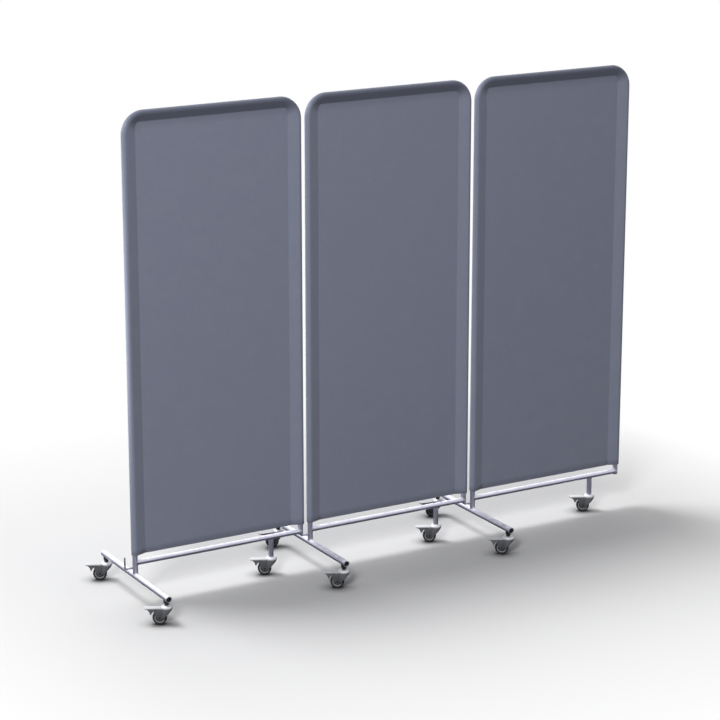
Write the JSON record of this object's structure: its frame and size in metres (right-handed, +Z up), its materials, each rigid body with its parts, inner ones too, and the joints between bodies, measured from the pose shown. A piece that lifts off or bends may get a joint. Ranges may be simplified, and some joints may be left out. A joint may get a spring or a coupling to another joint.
{
  "type": "ward privacy screen",
  "caption": "Mobile ward privacy screen: linked tubular frames with slip-on cloth curtains, each carried by a cross foot bar and a leg on braked swivel casters.",
  "frame": {"origin": "middle of the screen's footprint on the floor", "axes": "+X along the row of panels to the right, +Y to the back, +Z up"},
  "size_m": [2.1452, 0.5608, 1.7398],
  "materials": {
    "tube": "pale blue-grey powder coat, satin",
    "cloth": "close plain weave, matt blue-grey",
    "black_plastic": "moulded, satin black",
    "zinc_steel": "zinc-plated pressed steel",
    "pale_plastic": "moulded pale grey",
    "tyre": "dark tyre on a grey centre",
    "pin_steel": "bright round bar"
  },
  "bodies": {
    "left_panel": {"left_frame_tube": "tube", "left_bottom_rail": "tube", "left_foot_bar": "tube", "left_front_cap": "black_plastic", "left_back_cap": "black_plastic", "left_link_pin": "pin_steel", "left_pin_bush": "black_plastic", "left_curtain": "cloth", "left_front_caster_stem": "black_plastic", "left_back_caster_stem": "black_plastic", "left_leg_caster_stem": "zinc_steel"},
    "middle_panel": {"middle_frame_tube": "tube", "middle_bottom_rail": "tube", "middle_foot_bar": "tube", "middle_front_cap": "black_plastic", "middle_back_cap": "black_plastic", "middle_link_pin": "pin_steel", "middle_pin_bush": "black_plastic", "middle_curtain": "cloth", "middle_front_caster_stem": "black_plastic", "middle_back_caster_stem": "black_plastic", "middle_leg_caster_stem": "zinc_steel"},
    "right_panel": {"right_frame_tube": "tube", "right_bottom_rail": "tube", "right_foot_bar": "tube", "right_front_cap": "black_plastic", "right_back_cap": "black_plastic", "right_link_pin": "pin_steel", "right_pin_bush": "black_plastic", "right_curtain": "cloth", "right_front_caster_stem": "black_plastic", "right_back_caster_stem": "black_plastic", "right_leg_caster_stem": "zinc_steel"},
    "left_front_swivel": {"left_front_caster_fork": "zinc_steel"},
    "left_front_wheel": {"left_front_caster_wheel": "tyre"},
    "left_front_pedal": {"left_front_caster_pedal": "pale_plastic"},
    "left_back_swivel": {"left_back_caster_fork": "zinc_steel"},
    "left_back_wheel": {"left_back_caster_wheel": "tyre"},
    "left_back_pedal": {"left_back_caster_pedal": "pale_plastic"},
    "left_leg_swivel": {"left_leg_caster_fork": "zinc_steel"},
    "left_leg_wheel": {"left_leg_caster_wheel": "tyre"},
    "left_leg_pedal": {"left_leg_caster_pedal": "pale_plastic"},
    "middle_front_swivel": {"middle_front_caster_fork": "zinc_steel"},
    "middle_front_wheel": {"middle_front_caster_wheel": "tyre"},
    "middle_front_pedal": {"middle_front_caster_pedal": "pale_plastic"},
    "middle_back_swivel": {"middle_back_caster_fork": "zinc_steel"},
    "middle_back_wheel": {"middle_back_caster_wheel": "tyre"},
    "middle_back_pedal": {"middle_back_caster_pedal": "pale_plastic"},
    "middle_leg_swivel": {"middle_leg_caster_fork": "zinc_steel"},
    "middle_leg_wheel": {"middle_leg_caster_wheel": "tyre"},
    "middle_leg_pedal": {"middle_leg_caster_pedal": "pale_plastic"},
    "right_front_swivel": {"right_front_caster_fork": "zinc_steel"},
    "right_front_wheel": {"right_front_caster_wheel": "tyre"},
    "right_front_pedal": {"right_front_caster_pedal": "pale_plastic"},
    "right_back_swivel": {"right_back_caster_fork": "zinc_steel"},
    "right_back_wheel": {"right_back_caster_wheel": "tyre"},
    "right_back_pedal": {"right_back_caster_pedal": "pale_plastic"},
    "right_leg_swivel": {"right_leg_caster_fork": "zinc_steel"},
    "right_leg_wheel": {"right_leg_caster_wheel": "tyre"},
    "right_leg_pedal": {"right_leg_caster_pedal": "pale_plastic"}
  },
  "joints": [
    {"name": "left_fold", "type": "hinge", "parent": "middle_panel", "child": "left_panel", "pos_m": [-0.34086, -0.01143, 0.1334], "axis": [0, 0, 1], "range_deg": [-90, 90]},
    {"name": "right_fold", "type": "hinge", "parent": "middle_panel", "child": "right_panel", "pos_m": [0.35914, -0.01143, 0.1334], "axis": [0, 0, 1], "range_deg": [-90, 90]},
    {"name": "left_front_swivel", "type": "hinge", "parent": "left_panel", "child": "left_front_swivel", "pos_m": [-1.00086, -0.25943, 0.065], "axis": [0, 0, 1], "continuous": true},
    {"name": "left_front_roll", "type": "hinge", "parent": "left_front_swivel", "child": "left_front_wheel", "pos_m": [-1.02198, -0.24867, 0.025], "axis": [-0.454, -0.891, 0], "continuous": true},
    {"name": "left_front_brake", "type": "hinge", "parent": "left_front_swivel", "child": "left_front_pedal", "pos_m": [-1.03292, -0.2431, 0.05336], "axis": [-0.454, -0.891, 0], "range_deg": [0, 14]},
    {"name": "left_back_swivel", "type": "hinge", "parent": "left_panel", "child": "left_back_swivel", "pos_m": [-1.00086, 0.23657, 0.065], "axis": [0, 0, 1], "continuous": true},
    {"name": "left_back_roll", "type": "hinge", "parent": "left_back_swivel", "child": "left_back_wheel", "pos_m": [-1.02198, 0.24733, 0.025], "axis": [-0.454, -0.891, 0], "continuous": true},
    {"name": "left_back_brake", "type": "hinge", "parent": "left_back_swivel", "child": "left_back_pedal", "pos_m": [-1.03292, 0.2529, 0.05336], "axis": [-0.454, -0.891, 0], "range_deg": [0, 14]},
    {"name": "left_leg_swivel", "type": "hinge", "parent": "left_panel", "child": "left_leg_swivel", "pos_m": [-0.46286, -0.01143, 0.065], "axis": [0, 0, 1], "continuous": true},
    {"name": "left_leg_roll", "type": "hinge", "parent": "left_leg_swivel", "child": "left_leg_wheel", "pos_m": [-0.48398, -0.00067, 0.025], "axis": [-0.454, -0.891, 0], "continuous": true},
    {"name": "left_leg_brake", "type": "hinge", "parent": "left_leg_swivel", "child": "left_leg_pedal", "pos_m": [-0.49492, 0.0049, 0.05336], "axis": [-0.454, -0.891, 0], "range_deg": [0, 14]},
    {"name": "middle_front_swivel", "type": "hinge", "parent": "middle_panel", "child": "middle_front_swivel", "pos_m": [-0.30086, -0.25943, 0.065], "axis": [0, 0, 1], "continuous": true},
    {"name": "middle_front_roll", "type": "hinge", "parent": "middle_front_swivel", "child": "middle_front_wheel", "pos_m": [-0.32198, -0.24867, 0.025], "axis": [-0.454, -0.891, 0], "continuous": true},
    {"name": "middle_front_brake", "type": "hinge", "parent": "middle_front_swivel", "child": "middle_front_pedal", "pos_m": [-0.33292, -0.2431, 0.05336], "axis": [-0.454, -0.891, 0], "range_deg": [0, 14]},
    {"name": "middle_back_swivel", "type": "hinge", "parent": "middle_panel", "child": "middle_back_swivel", "pos_m": [-0.30086, 0.23657, 0.065], "axis": [0, 0, 1], "continuous": true},
    {"name": "middle_back_roll", "type": "hinge", "parent": "middle_back_swivel", "child": "middle_back_wheel", "pos_m": [-0.32427, 0.24027, 0.025], "axis": [-0.1564, -0.9877, 0], "continuous": true},
    {"name": "middle_back_brake", "type": "hinge", "parent": "middle_back_swivel", "child": "middle_back_pedal", "pos_m": [-0.33639, 0.24219, 0.05336], "axis": [-0.1564, -0.9877, 0], "range_deg": [0, 14]},
    {"name": "middle_leg_swivel", "type": "hinge", "parent": "middle_panel", "child": "middle_leg_swivel", "pos_m": [0.23714, -0.01143, 0.065], "axis": [0, 0, 1], "continuous": true},
    {"name": "middle_leg_roll", "type": "hinge", "parent": "middle_leg_swivel", "child": "middle_leg_wheel", "pos_m": [0.21602, -0.00067, 0.025], "axis": [-0.454, -0.891, 0], "continuous": true},
    {"name": "middle_leg_brake", "type": "hinge", "parent": "middle_leg_swivel", "child": "middle_leg_pedal", "pos_m": [0.20508, 0.0049, 0.05336], "axis": [-0.454, -0.891, 0], "range_deg": [0, 14]},
    {"name": "right_front_swivel", "type": "hinge", "parent": "right_panel", "child": "right_front_swivel", "pos_m": [0.39914, -0.25943, 0.065], "axis": [0, 0, 1], "continuous": true},
    {"name": "right_front_roll", "type": "hinge", "parent": "right_front_swivel", "child": "right_front_wheel", "pos_m": [0.37802, -0.24867, 0.025], "axis": [-0.454, -0.891, 0], "continuous": true},
    {"name": "right_front_brake", "type": "hinge", "parent": "right_front_swivel", "child": "right_front_pedal", "pos_m": [0.36708, -0.2431, 0.05336], "axis": [-0.454, -0.891, 0], "range_deg": [0, 14]},
    {"name": "right_back_swivel", "type": "hinge", "parent": "right_panel", "child": "right_back_swivel", "pos_m": [0.39914, 0.23657, 0.065], "axis": [0, 0, 1], "continuous": true},
    {"name": "right_back_roll", "type": "hinge", "parent": "right_back_swivel", "child": "right_back_wheel", "pos_m": [0.37573, 0.24027, 0.025], "axis": [-0.1564, -0.9877, 0], "continuous": true},
    {"name": "right_back_brake", "type": "hinge", "parent": "right_back_swivel", "child": "right_back_pedal", "pos_m": [0.36361, 0.24219, 0.05336], "axis": [-0.1564, -0.9877, 0], "range_deg": [0, 14]},
    {"name": "right_leg_swivel", "type": "hinge", "parent": "right_panel", "child": "right_leg_swivel", "pos_m": [0.93714, -0.01143, 0.065], "axis": [0, 0, 1], "continuous": true},
    {"name": "right_leg_roll", "type": "hinge", "parent": "right_leg_swivel", "child": "right_leg_wheel", "pos_m": [0.91602, -0.00067, 0.025], "axis": [-0.454, -0.891, 0], "continuous": true},
    {"name": "right_leg_brake", "type": "hinge", "parent": "right_leg_swivel", "child": "right_leg_pedal", "pos_m": [0.90508, 0.0049, 0.05336], "axis": [-0.454, -0.891, 0], "range_deg": [0, 14]}
  ]
}
